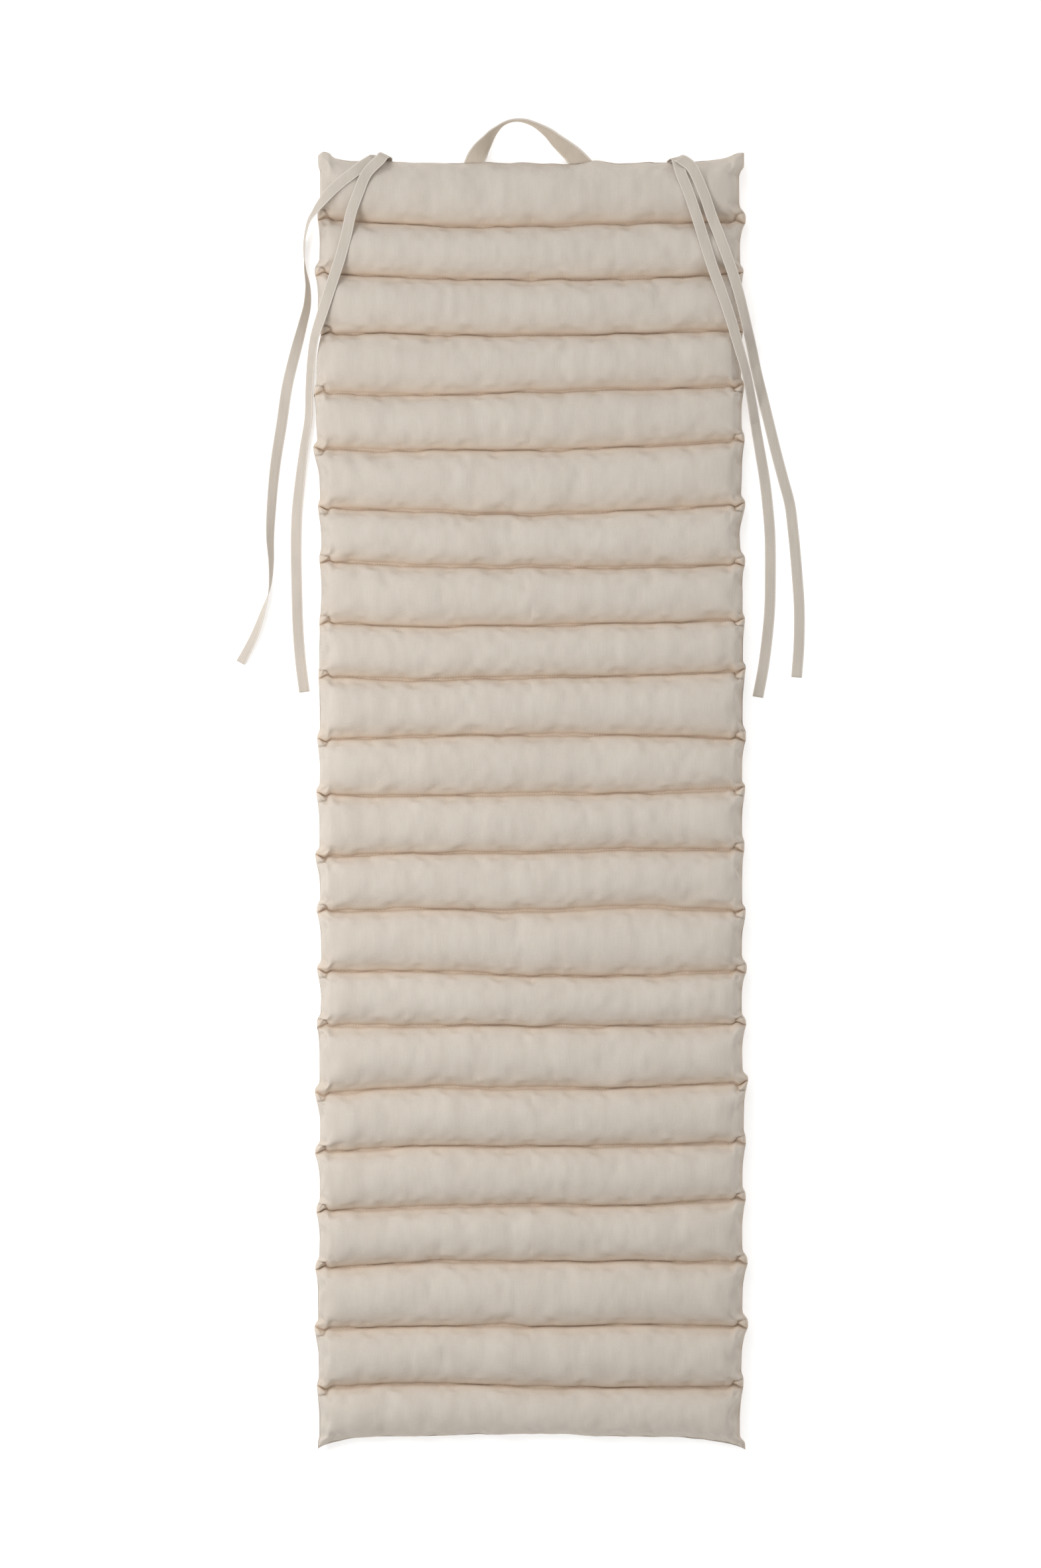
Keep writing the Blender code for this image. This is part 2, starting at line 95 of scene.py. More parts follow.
def raised(worldX, worldY, height):
    # The plan place at which a point at a height is seen, the reverse of the function above.
    size = plan["step"] * (1 - (height - plan["edgeHeight"]) / plan["viewHeight"])
    middleX, middleY = plan["middle"]
    return middleX + (worldX + plan["shift"][0]) / size, middleY - (worldY + plan["shift"][1]) / size


def softNoise(x, y, seed):
    # Chance values from -1 to 1 on a unit grid, the fractions of a large sine, blended by smooth steps.
    x, y = np.broadcast_arrays(np.asarray(x, float), np.asarray(y, float))
    lowX, lowY = np.floor(x), np.floor(y)
    partX, partY = x - lowX, y - lowY
    partX, partY = partX * partX * (3 - 2 * partX), partY * partY * (3 - 2 * partY)

    def corner(placeX, placeY):
        raw = np.sin(placeX * 127.1 + placeY * 311.7 + seed * 74.7) * 43758.5453
        return (raw - np.floor(raw)) * 2 - 1

    upper = corner(lowX, lowY) * (1 - partX) + corner(lowX + 1, lowY) * partX
    lower = corner(lowX, lowY + 1) * (1 - partX) + corner(lowX + 1, lowY + 1) * partX
    return upper * (1 - partY) + lower * partY


# The filled pad. Seam rows run from the head edge to the foot edge: their place along the mattress at five
# stations from left to right, then the side's place at the ear on each end and the ear's shift from its seam
# towards the foot. Side rows are halfway along each channel.
pad = {
    "seams": (
        ("left", "leftQuarter", "middle", "rightQuarter", "right")
        + ("earLeft", "earRight", "shiftLeft", "shiftRight"),
        (246.5, 246.5, 245.5, 246, 246, 479, 1121, 8, 14.5),
        (329, 341, 341, 337, 334.5, 478, 1123.5, -8, -6),
        (413, 420, 422.5, 419, 413.5, 474, 1120, -8, -2),
        (503, 504, 506.3, 503, 498, 483, 1119, 0, 0),
        (592.5, 595, 591, 587, 581.5, 473, 1121, 1, 7),
        (676, 678.5, 677.7, 673.5, 663, 472, 1121.5, 7, -2),
        (765, 771, 775, 770, 760, 479, 1122.5, 5, 7),
        (846, 853, 854, 855, 850, 481, 1122.5, -7, -7),
        (938.5, 944, 942, 938.5, 934, 481, 1122, 0, 9),
        (1019, 1023.5, 1019.5, 1016.7, 1010, 479.5, 1123, -3, 0),
        (1115, 1108.5, 1106.7, 1107, 1114, 477.5, 1123.5, 4, -6),
        (1196, 1198, 1196.7, 1195, 1187, 476.5, 1122.5, 2, 8),
        (1290, 1285, 1284.5, 1279, 1280, 475, 1121.5, 7, -9),
        (1372, 1369.5, 1372, 1366.5, 1372, 477, 1123, -3, 10),
        (1462, 1463, 1469.2, 1469, 1463, 477.5, 1125, 4, -7),
        (1545, 1544, 1545, 1544.5, 1541, 477.5, 1124, -5, 1),
        (1648, 1637.5, 1639, 1637.5, 1630, 474.5, 1127, 3, 0),
        (1735, 1725, 1725.7, 1724, 1720.5, 474.5, 1123.5, 1, -2),
        (1824, 1817.3, 1814, 1814.5, 1805, 476.5, 1123.5, 0, -3),
        (1910, 1899.7, 1899.7, 1899, 1901, 475, 1126, 0, 0),
        (2001, 1996.3, 1996.5, 1995, 1998, 474, 1127, 7, -5),
        (2090, 2082.3, 2087, 2090, 2087, 477.5, 1120, 4, -8),
        (2161, 2161, 2160.5, 2162.5, 2162.5, 479, 1122.5, 0, 0),
    ),
    "sides": (
        ("left", "right"),
        (482, 1113.5), (481.5, 1114.5), (478.5, 1116), (477.5, 1116), (476, 1117), (481, 1117.5),
        (483.5, 1114), (484, 1118.5), (480.5, 1119), (481.5, 1118.5), (481.5, 1118), (481, 1117.5),
        (481.5, 1118), (483.5, 1117.5), (483.5, 1117), (481, 1118), (482, 1120.5), (481.5, 1118.5),
        (481.5, 1118), (479, 1118.5), (480, 1117), (481, 1114.5),
    ),
    "width": 0.600,
    "pitch": 0.0822,
    "crownHeight": 0.045,
    "seamTop": 0.0185,
    "seamBottom": 0.011,
    "rimReach": 0.005,
    "sideRound": 0.048,
    "footRound": 0.020,
    "grooveShare": 0.17,
    "groovePower": 2.0,
    "crownPower": 2.3,
    "crownRoot": 1.85,
    "sidePower": 2.2,
    "earCentre": 0.55,
    "earHead": (0.0120, 4.0),  # reach and power of an ear's steep head side
    "earFoot": (0.0180, 1.3),  # and of its slow foot side
    "earCorner": (0.0140, 6.0),
    "earFade": 4.0,
    "tipReach": 0.0425,
    "tipPower": 0.8,
    "headTips": 0.0151,
    "footTips": 0.0203,
    "bluntLeft": 0.0035,  # how far the head tips are cut short, and from how near the side
    "bluntRight": 0.0018,
    "bluntReach": 0.0040,
    "humpHeight": 0.0060,  # the lobe of the left head tip
    "humpPlace": 0.0118,
    "humpReach": 0.0078,
    "humpPower": 4,
    "fullHeight": 0.0033,  # and the fuller right one
    "fullPlace": 0.0104,
    "fullReach": 0.0110,
    "wander": (("scale", "steps", "seed"), (14.0, 1.3, 11), (40.0, 0.5, 12)),  # chance unevenness of a seam
    "wanderFade": 12.0,
    "headScallops": (
        ("x", "rise", "reach"),
        (565, 0.8, 26), (650, -1.2, 30), (716, 2.4, 24), (770, 2, 16), (850, -1.2, 20),
        (884, 2.2, 18), (955, 1, 14), (973, -1.4, 8),
    ),
    "flange": 0.0014,  # width of the folded edge seam that stands out below the rounded side
    "seamOpen": 0.0012,  # half the widest floor of an opened seam
    "openMean": 0.62,
    "openVariety": 0.8,
    "openNoise": (("scale", "seed"), (26.0, 21), (7.0, 22)),
    "lowest": 0.012,  # limits of the top's height, and the unevenness of the edge seam
    "highest": 0.0505,
    "edgeWave": 0.0012,
    "rowShares": (
        0.0, 0.006, 0.014, 0.024, 0.037, 0.053, 0.07, 0.087, 0.105, 0.124, 0.145, 0.17, 0.21, 0.265, 0.335,
        0.415, 0.5, 0.585, 0.665, 0.735, 0.79, 0.83, 0.855, 0.876, 0.895, 0.913, 0.93, 0.947, 0.963, 0.976,
        0.986, 0.994,
    ),
    "sideSteps": (
        0.0, 0.0006, 0.0014, 0.0024, 0.0036, 0.005, 0.0064, 0.0078, 0.0092, 0.0106, 0.012, 0.0134, 0.015,
        0.017, 0.020, 0.0245, 0.0295,
    ),
    "middleStart": 0.0055,
    "middleStep": 0.00561,
    "underShares": (0.0, 0.053, 0.124, 0.21, 0.335, 0.5, 0.665, 0.79, 0.876, 0.947),
    "underEvery": 5,
}
channels = len(pad["sides"]) - 1  # between the seam rows


def cornerPull(distance):
    # Share of a corner tip's reach that is left at a distance from the side: a stretched falling exponential.
    return np.exp(-((np.maximum(distance, 0) / pad["tipReach"]) ** pad["tipPower"]))


def seamLines(share):
    # Places of all cross seams along the mattress at shares of its width, with the corner tips.
    names = pad["seams"][0][:5]
    values = np.stack([column(pad["seams"], name) for name in names])
    lines = smoothCurve(values, np.linspace(0, 1, len(names)), share).T
    fromLeft, fromRight = share * pad["width"], (1 - share) * pad["width"]
    pull = cornerPull(fromLeft) + cornerPull(fromRight)
    seam = np.arange(len(lines))[:, None] * 3
    wander = sum(softNoise(share * scale, seam, seed) * steps for scale, steps, seed in pad["wander"][1:])
    lines = lines + wander * np.minimum(1, pad["wanderFade"] * np.minimum(share, 1 - share))
    hump = np.exp(-(((fromLeft - pad["humpPlace"]) / pad["humpReach"]) ** pad["humpPower"]))
    full = bell(fromRight - pad["fullPlace"], pad["fullReach"])
    blunt = sum(
        pad[key] * np.clip(1 - away / pad["bluntReach"], 0, 1) ** 2
        for key, away in (("bluntLeft", fromLeft), ("bluntRight", fromRight))
    )
    swell = pad["headTips"] * pull + pad["humpHeight"] * hump + pad["fullHeight"] * full - blunt
    lines[0] -= swell / plan["step"]
    seenX = plan["middle"][0] + (share - 0.5) * pad["width"] / plan["step"]
    lines[0] -= sum(rise * bell(seenX - x, reach) for x, rise, reach in pad["headScallops"][1:])
    lines[-1] += pad["footTips"] / plan["step"] * pull
    return lines


def sideLines(along):
    # Left and right side at places counted in channels: the middle value, with an ear at each seam that
    # stands out by a falling exponential, steep towards the head and slow towards the foot.
    nearest = np.clip(np.rint(along).astype(int), 0, channels)
    result = []
    corner = (nearest == 0) | (nearest == channels)
    fade = np.where(corner, 1.0, np.clip(pad["earFade"] * (0.5 - np.abs(along - nearest)), 0, 1))
    for side, ear, shift in (("left", "earLeft", "shiftLeft"), ("right", "earRight", "shiftRight")):
        centre = column(pad["seams"], shift)[nearest] * plan["step"] * pad["earCentre"]
        away = (along - nearest) * pad["pitch"] - centre
        reach, power = (
            np.where(corner, pad["earCorner"][n], np.where(away < 0, pad["earHead"][n], pad["earFoot"][n]))
            for n in (0, 1)
        )
        weight = np.exp(-(np.abs(away / reach) ** power)) * fade
        plain = np.interp(along, np.arange(channels) + 0.5, column(pad["sides"], side))
        result.append(plain + (column(pad["seams"], ear)[nearest] - plain) * weight)
    return result


def sideProfile(distance, reach, power):
    # Height over the rounded side: a quarter of a rounded square, 0 at the edge and 1 from the reach inwards.
    share = np.clip(1 - distance / reach, 0, 1)
    return (1 - share**power) ** (1 / power)


def padHeights(along, distance, opening):
    # Top and underside: a crown over each channel between its seams, rounded off to both sides. The opening
    # is half the width of the flat floor left in each seam.
    part = along - np.floor(along)
    fromSeam = np.minimum(part, 1 - part)
    atEnds = np.minimum(along, channels - along) * pad["pitch"]
    rim = np.exp(-np.minimum(distance, atEnds) / pad["rimReach"])
    line = pad["seamTop"] + (plan["edgeHeight"] - pad["seamTop"]) * rim
    floorShare = opening / pad["pitch"]
    inner = np.clip((fromSeam - floorShare) / (0.5 - floorShare), 0, 1)
    crown = (1 - (1 - inner) ** pad["crownPower"]) ** (1 / pad["crownRoot"])
    crown = crown * sideProfile(np.maximum(distance - pad["flange"], 0), pad["sideRound"], pad["sidePower"])
    top = line + (pad["crownHeight"] - line) * crown
    groove = sideProfile(fromSeam, pad["grooveShare"], pad["groovePower"])
    base = pad["seamBottom"] + (plan["edgeHeight"] - pad["seamBottom"]) * rim
    return top, base * (1 - groove * sideProfile(distance, pad["footRound"], pad["groovePower"]))


# The ears: where a seam ends at a side, its end is bent to and fro, and the cloth beside it is folded into a
# flap with an oval crease round it. Bends: steps, place and reach from the side in metres.
ears = {
    "leastShift": 3.0,
    "bends": (
        ("steps", "place", "reach"),
        (-3, 0.001, 0.0055),
        (3.6, 0.0135, 0.0055),
        (-1.6, 0.0215, 0.0045),
    ),
    "bendLength": 0.009,
    "variety": 0.25,  # of the bends' strength
    "flapWidth": 0.0150,
    "flapLength": 0.0105,
    "flapHeight": 0.0045,
    "seamWidth": 0.0013,
    "ringWidth": 0.085,  # share of the flap
    "ringDepth": 0.0024,
    "ringStart": 0.004,
}


def earShifts(along, share):
    # The ear's shift in steps and the distance from the seam in metres, both towards the foot, over the grid;
    # the shift is 0 at both ends of the mattress.
    nearest = np.clip(np.rint(along).astype(int), 0, channels)
    left, right = (column(pad["seams"], key)[nearest][:, None] for key in ("shiftLeft", "shiftRight"))
    shift = np.where(share[None, :] < 0.5, left, right)
    chance = np.sign(softNoise(nearest[:, None] * 3.0 + (share[None, :] > 0.5) * 70, 0.5, 91))
    shift = np.where(np.abs(shift) < ears["leastShift"], ears["leastShift"] * chance, shift)
    shift = shift * ((nearest > 0) & (nearest < channels))[:, None]
    return shift, (along - nearest)[:, None] * pad["pitch"]


def earBend(along, share, distance):
    # Bend of the rows near a seam's end, in steps: a few bells over the distance from the side.
    shift, away = earShifts(along, share)
    strength = 1 - ears["variety"] + ears["variety"] * softNoise(shift * 3.7, 0.5, 92)
    strength = strength * np.sign(shift)
    bend = sum(steps * bell(distance - place, reach) for steps, place, reach in ears["bends"][1:])
    return strength * bend * bell(away, ears["bendLength"])


def earRelief(along, share, distance):
    # Height of each flap, half an oval dome beside the seam, less the crease round it, and its share.
    shift, away = earShifts(along, share)
    beside = np.clip(away * np.sign(shift) / ears["seamWidth"], 0, 1)
    radius = np.hypot(distance / ears["flapWidth"], away / ears["flapLength"])
    flap = np.sqrt(np.clip(1 - radius * radius, 0, 1)) * beside
    ring = bell(radius - 1, ears["ringWidth"]) * beside * np.clip(distance / ears["ringStart"], 0, 1)
    return flap * ears["flapHeight"] - ring * ears["ringDepth"], ring


def padGrid(along, share, opening):
    # Points of the top and heights of the underside over places in channels and shares of the width.
    low, high = sideLines(along)
    x = low[:, None] + (high - low)[:, None] * share[None, :]
    lines = seamLines(share)
    counts = np.arange(len(lines))
    y = np.stack([np.interp(along, counts, line) for line in lines.T], axis=1)
    distance = np.minimum(x - low[:, None], high[:, None] - x) * plan["step"]
    y = y + earBend(along, share, distance)
    top, bottom = padHeights(np.broadcast_to(along[:, None], x.shape), np.maximum(distance, 0), opening)
    top[0] = top[-1] = plan["edgeHeight"]
    top[:, 0] = top[:, -1] = plan["edgeHeight"]
    return np.stack([*toWorld(x, y), top], axis=-1), bottom, distance


def gridFaces(index):
    # The four-sided faces of a grid of point numbers.
    corners = (index[:-1, :-1], index[1:, :-1], index[1:, 1:], index[:-1, 1:])
    return np.stack(corners, axis=-1).reshape(-1, 4)


def makeMesh(name, points, faces, smooth=True):
    # A mesh object from lists of points and faces, at the origin, with faces outward as they are listed.
    mesh = bpy.data.meshes.new(name)
    mesh.from_pydata(np.asarray(points, float).tolist(), [], [list(face) for face in faces])
    mesh.validate()
    if smooth:
        mesh.shade_smooth()
    item = bpy.data.objects.new(name, mesh)
    bpy.context.scene.collection.objects.link(item)
    return item


def addShares(item, name, values):
    # A number for each point of a piece, which its material reads.
    layer = item.data.attributes.new(name, "FLOAT", "POINT")
    layer.data.foreach_set("value", np.asarray(values, np.float32).ravel())


# The cloth simulation of the top panel, which has spare cloth at the seams and more at the sides.
drape = {
    "rowsPerChannel": 16,
    "columns": 121,
    "spareLevels": 20,
    "seamShare": 0.45,  # of the most spare cloth
    "seamReach": 0.012,
    "sideReach": 0.022,
    "startRipple": 0.0002,
    "startShare": 0.97,  # the crown starts a little low
    "frames": 18,
    "mostMove": 0.0055,
    "cloth": {
        "vertex_group_mass": "sewn",
        "vertex_group_shrink": "tight",
        "shrink_min": -0.08,  # spare cloth where it isn't tight
        "shrink_max": -0.004,
        "quality": 5,
        "mass": 0.2,
        "tension_stiffness": 15.0,
        "compression_stiffness": 15.0,
        "shear_stiffness": 5.0,
        "bending_stiffness": 0.5,
        "air_damping": 2,
        "use_pressure": True,
        "uniform_pressure_force": 4.0,
    },
}


def simulateTop():
    # Moves of the top panel's points on a coarse grid: the cloth is pinned along the seams and the rim, has
    # spare length by a share that falls off from both, is pushed out by pressure without gravity, and moves
    # only so far.
    along = np.linspace(0, channels, channels * drape["rowsPerChannel"] + 1)
    share = np.linspace(0, 1, drape["columns"])
    points, _, distance = padGrid(along, share, 0.0)
    rows, columns = points.shape[:2]
    start = points.copy()
    start[..., 2] = plan["edgeHeight"] + (points[..., 2] - plan["edgeHeight"]) * drape["startShare"]
    held = np.zeros((rows, columns), bool)
    held[:: drape["rowsPerChannel"]] = True
    held[:, 0] = held[:, -1] = True
    ripple = drape["startRipple"] * softNoise(share * 60, along[:, None] * 5, 61)
    start[..., 2] += np.where(held, 0, ripple)
    index = np.arange(rows * columns).reshape(rows, columns)
    item = makeMesh("drapeTrial", start.reshape(-1, 3), gridFaces(index))
    item.vertex_groups.new(name="sewn").add(np.flatnonzero(held).tolist(), 1.0, "REPLACE")
    away = np.abs(along - np.rint(along))[:, None] * pad["pitch"]
    chance = 0.7 + 0.5 * softNoise(share * 8, np.rint(along)[:, None] * 3, 62)
    spare = drape["seamShare"] * np.exp(-away / drape["seamReach"]) * chance
    spare = np.clip(np.maximum(spare, np.exp(-np.maximum(distance, 0) / drape["sideReach"])), 0, 1)
    tight = item.vertex_groups.new(name="tight")
    levels = drape["spareLevels"]
    for level in range(1, levels + 1):
        some = np.flatnonzero(np.rint((1 - spare.ravel()) * levels) == level)
        tight.add(some.tolist(), level / levels, "REPLACE")
    cloth = item.modifiers.new("cloth", "CLOTH")
    for name, value in drape["cloth"].items():
        setattr(cloth.settings, name, value)
    cloth.settings.effector_weights.gravity = 0
    cloth.collision_settings.use_collision = False
    cloth.collision_settings.use_self_collision = False
    cloth.point_cache.frame_start = 1
    cloth.point_cache.frame_end = drape["frames"]
    for number in range(1, drape["frames"] + 1):
        bpy.context.scene.frame_set(number)
    shown = item.evaluated_get(bpy.context.evaluated_depsgraph_get()).to_mesh()
    moved = np.empty(rows * columns * 3, np.float32)
    shown.vertices.foreach_get("co", moved)
    bpy.context.scene.frame_set(1)
    bpy.data.objects.remove(item)
    move = moved.reshape(rows, columns, 3).astype(float) - points
    length = np.linalg.norm(move, axis=2, keepdims=True)
    print("top panel simulated, most move %.4f, mean %.4f" % (length.max(), length.mean()))
    return along, share, move * np.minimum(1, drape["mostMove"] / np.maximum(length, 1e-9))


def makePad(material):
    # The filled pad as one closed surface: the fine top with simulated moves and folds, a plainer underside.
    along = (np.arange(channels)[:, None] + np.array(pad["rowShares"])).ravel()
    along = np.append(along, channels)
    sideSteps = np.array(pad["sideSteps"])
    inside = np.arange(sideSteps[-1] + pad["middleStart"], pad["width"] / 2, pad["middleStep"])
    near = np.concatenate([sideSteps, inside]) / pad["width"]
    share = np.concatenate([near, [0.5], 1 - near[::-1]])
    seam = np.rint(along)[:, None]
    chance = sum(softNoise(share * scale, seam * 3, seed) for scale, seed in pad["openNoise"][1:])
    opening = pad["seamOpen"] * np.clip(pad["openMean"] + pad["openVariety"] * chance, 0, 1)
    points, bottom, distance = padGrid(along, share, opening)
    rows, columns = points.shape[:2]
    coarseAlong, coarseShare, move = simulateTop()
    move = smoothCurve(move.reshape(len(coarseAlong), -1), coarseAlong, along).reshape(rows, -1, 3)
    move = smoothCurve(move.transpose(1, 0, 2).reshape(len(coarseShare), -1), coarseShare, share)
    points = points + move.reshape(columns, rows, 3).transpose(1, 0, 2)
    points[..., 2] += folds(along, share, distance)
    rim = np.zeros((rows, columns), bool)
    rim[0] = rim[-1] = True
    rim[:, 0] = rim[:, -1] = True
    points[..., 2] = np.clip(points[..., 2], pad["lowest"], pad["highest"])
    points[rim, 2] = plan["edgeHeight"] + pad["edgeWave"] * softNoise(along[:, None] * 2, share * 60, 31)[rim]
    upper = np.arange(rows * columns).reshape(rows, columns)
    keepRow = np.isclose(along[:, None] % 1, np.array(pad["underShares"])).any(axis=1)
    keepRow[-1] = True
    keepColumn = np.zeros(columns, bool)
    keepColumn[:: pad["underEvery"]] = True
    keepColumn[-1] = True
    rowPick, columnPick = np.flatnonzero(keepRow), np.flatnonzero(keepColumn)
    lower = upper[np.ix_(rowPick, columnPick)].copy()
    inner = np.ix_(rowPick[1:-1], columnPick[1:-1])
    plainPoints, _, _ = padGrid(along, share, 0.0)
    below = np.concatenate([plainPoints[inner][..., :2], bottom[inner][..., None]], axis=-1)
    lower[1:-1, 1:-1] = rows * columns + np.arange(below[..., 0].size).reshape(below.shape[:2])
    # The outer faces below take in the finer points of the rim, last row first so that the places still hold.
    under = gridFaces(lower)[:, [0, 3, 2, 1]].reshape(len(rowPick) - 1, -1, 4).tolist()
    for spot, (start, end) in enumerate(zip(columnPick, columnPick[1:])):
        under[-1][spot][3:3] = upper[-1, start + 1 : end][::-1].tolist()
    for row, (start, end) in enumerate(zip(rowPick, rowPick[1:])):
        under[row][-1][2:2] = upper[start + 1 : end, -1].tolist()
        under[row][0] += upper[start + 1 : end, 0][::-1].tolist()
    for spot, (start, end) in enumerate(zip(columnPick, columnPick[1:])):
        under[0][spot][1:1] = upper[0, start + 1 : end].tolist()
    faces = gridFaces(upper).tolist() + sum(under, [])
    everything = np.concatenate([points.reshape(-1, 3), below.reshape(-1, 3)])
    item = makeMesh("padCover", everything, faces)
    item.data.materials.append(material)
    # Point shares of the painted bounce light beside the seams and of the painted shade in the closed seams.
    for name, shade in zip(("paintedBounce", "paintedCreaseShade"), creaseShades(along, share, distance, opening)):
        addShares(item, name, np.append(shade, np.zeros(below[..., 0].size)))
    return item, along, share, points


# The painted light along the seams: a warm tone of painted bounce light beside them, and a dark line of
# painted shade where they are closed.
creases = {
    "headReach": 0.0085,  # of the warm tone
    "footReach": 0.0045,
    "outerSeams": 0.15,
    # Painted bounce light along the right side.
    "rightSide": (0.5, 0.004),  # most and reach
    "closing": 1.7,
    # Painted shade in the dark line of the closed seams, round the flaps and along the right edge seam.
    "line": (0.315, 0.84),  # most in the middle seams, and in the first and last
    "lineSides": (0.85, 0.030),  # most at the sides, and its reach
    "lineWidth": 0.0007,
    "flapLine": 0.6,
    "edgeLine": (0.4, 0.003, 0.0008),  # most, place and width
}


def creaseShades(along, share, distance, opening):
    # Two shares of painted light over the top. The first is of the warm tone of painted bounce light beside
    # each seam, falling by exponentials, with a long reach on its head side, and along the right side. The
    # second is of the dark line of painted shade where a seam is closed, less in the middle where the camera
    # looks straight into the seams, round the flaps and along the right edge seam.
    away = (along - np.rint(along))[:, None] * pad["pitch"]
    inner = ((np.rint(along) > 0) & (np.rint(along) < channels))[:, None]
    right = share[None, :] > 0.5
    warm = np.exp(np.where(away < 0, away / creases["headReach"], -away / creases["footReach"]))
    warm = warm * np.where(inner, 1.0, creases["outerSeams"])
    most, reach = creases["rightSide"]
    warm = np.maximum(warm, most * right * np.exp(-distance / reach))
    middle, ends = creases["line"]
    paintedCreaseShade = middle + (ends - middle) * np.abs(2 * np.rint(along) / channels - 1)[:, None]
    paintedCreaseShade = paintedCreaseShade * np.clip(1 - creases["closing"] * opening / pad["seamOpen"], 0, 1)
    most, reach = creases["lineSides"]
    paintedCreaseShade = np.maximum(paintedCreaseShade, most * bell(distance, reach))
    line = paintedCreaseShade * np.exp(-np.abs(away) / creases["lineWidth"]) * inner
    _, ring = earRelief(along, share, distance)
    # Painted shade along the right edge seam.
    most, place, width = creases["edgeLine"]
    edge = most * bell(distance - place, width) * right
    return warm, np.clip(np.maximum(np.maximum(line, creases["flapLine"] * ring), edge), 0, 1)


# Low relief of the top: heights, how far from the seams they start, and their reach, in metres.
wrinkles = {
    "gathers": (0.0010, 0.003, 0.022),
    "gatherWidths": (0.011, 0.019),
    "gatherSlant": 0.35,
    "fan": (0.0016, 0.005, 0.026),
    "fanRibs": 9,
    "fanSwing": 6,
    "slow": (0.0011, 0.012),
    "ripples": (0.0010, 0.006),
    "rippleWidths": (0.016, 0.010),
    "sideStart": 0.004,
    "flapStart": 0.0012,
}


def folds(along, share, distance):
    # Heights added to the top: gathers across each seam that die away from it, folds that run out from each
    # seam end like the ribs of a fan, a slow unevenness of the filling and ripples along the mattress.
    fromSeam = (along - np.rint(along))[:, None] * pad["pitch"]
    seam = np.rint(along)[:, None]
    away = np.abs(fromSeam)
    across = share[None, :] * pad["width"]
    height, start, reach = wrinkles["gathers"]
    wide, narrow = wrinkles["gatherWidths"]
    place = across + softNoise(share * 5, seam * 3, 41) * wrinkles["gatherSlant"] * fromSeam
    gather = softNoise(place / wide, seam * 5, 42) + 0.8 * softNoise(place / narrow, seam * 5, 43)
    fade = rising(away, start) * np.exp(-((away / reach) ** 1.3))
    total = height * gather * fade * (0.5 + 0.5 * softNoise(share * 9, seam * 3, 44))
    height, start, reach = wrinkles["fan"]
    radius = np.hypot(fromSeam, distance)
    angle = np.arctan2(fromSeam, np.maximum(distance, 1e-6))
    side = np.where(share < 0.5, 0.0, 40.0)[None, :]
    swing = wrinkles["fanSwing"] * softNoise(seam * 3 + side, 0.0, 45)
    fan = np.cos(angle * wrinkles["fanRibs"] + swing) + 0.6 * softNoise(angle * 5 + seam * 9, side, 46)
    total = total + height * fan * np.exp(-radius / reach) * rising(radius, start)
    height, start = wrinkles["slow"]
    total = total + height * softNoise(share * 6, along[:, None] * 1.6, 47) * rising(away, start)
    height, start = wrinkles["ripples"]
    wide, narrow = wrinkles["rippleWidths"]
    ripple = softNoise(across / wide, along[:, None] * 1.3, 48)
    ripple = ripple + 0.6 * softNoise(across / narrow, along[:, None] * 1.7, 49)
    total = total + height * ripple * rising(away, start)
    inside = rising(np.maximum(distance - pad["flange"], 0), wrinkles["sideStart"])
    relief, _ = earRelief(along, share, distance)
    return total * inside + relief * rising(distance, wrinkles["flapStart"])


def topHeight(grid, x, y):
    # Height of the finished top over places in the plan tables, blended between the four grid points around
    # each, and 0 beside the pad.
    along, share, points = grid
    left, right = column(pad["sides"], "left").mean(), column(pad["sides"], "right").mean()
    place = np.clip((x - left) / (right - left), 0, 1)
    lines = seamLines(place)
    counts = np.arange(len(lines))
    far = np.array([np.interp(spot, lines[:, n], counts) for n, spot in enumerate(y)])
    low, high = sideLines(far)
    place = (x - low) / (high - low)
    beyond = np.maximum(lines[0] - y, y - lines[-1]) * plan["step"]
    inside = (place > 0) & (place < 1) & (beyond < 0.001)
    row = np.clip(np.searchsorted(along, far, side="right") - 1, 0, len(along) - 2)
    spot = np.clip(np.searchsorted(share, place, side="right") - 1, 0, len(share) - 2)
    partRow = np.clip((far - along[row]) / (along[row + 1] - along[row]), 0, 1)
    partSpot = np.clip((place - share[spot]) / (share[spot + 1] - share[spot]), 0, 1)
    z = points[..., 2]
    upper = z[row, spot] * (1 - partSpot) + z[row, spot + 1] * partSpot
    lower = z[row + 1, spot] * (1 - partSpot) + z[row + 1, spot + 1] * partSpot
    return np.where(inside, upper * (1 - partRow) + lower * partRow, 0.0)


def unitRows(rows):
    # Each row with a length of 1.
    return rows / np.linalg.norm(rows, axis=1)[:, None]


def directions(path):
    # The way ahead at each point of a path.
    return unitRows(np.gradient(path, axis=0))


def atLengths(rows, lengths, wanted):
    # Rows at the wanted lengths, straight between their neighbours.
    return np.column_stack([np.interp(wanted, lengths, values) for values in rows.T])


def runningLength(points):
    # Length from the first point to each point.
    return np.concatenate([[0], np.cumsum(np.linalg.norm(np.diff(points, axis=0), axis=1))])


# Cross-section of a flat sewn strip: share of its half width, and share of its half thickness there, with a
# pressed-in line of stitches near each edge.
stripSection = (
    ("across", "thick"),  # shares
    (-1, 0.35), (-0.97, 0.85), (-0.90, 1), (-0.80, 0.62), (-0.70, 1), (-0.35, 1),
    (0, 1), (0.35, 1), (0.70, 1), (0.80, 0.62), (0.90, 1), (0.97, 0.85), (1, 0.35),
)
# A painted highlight lies along each edge of a strip, beyond this share of its half width.
edgeHighlightFrom = 0.85  # share of the half width from which a strip's edge is paler

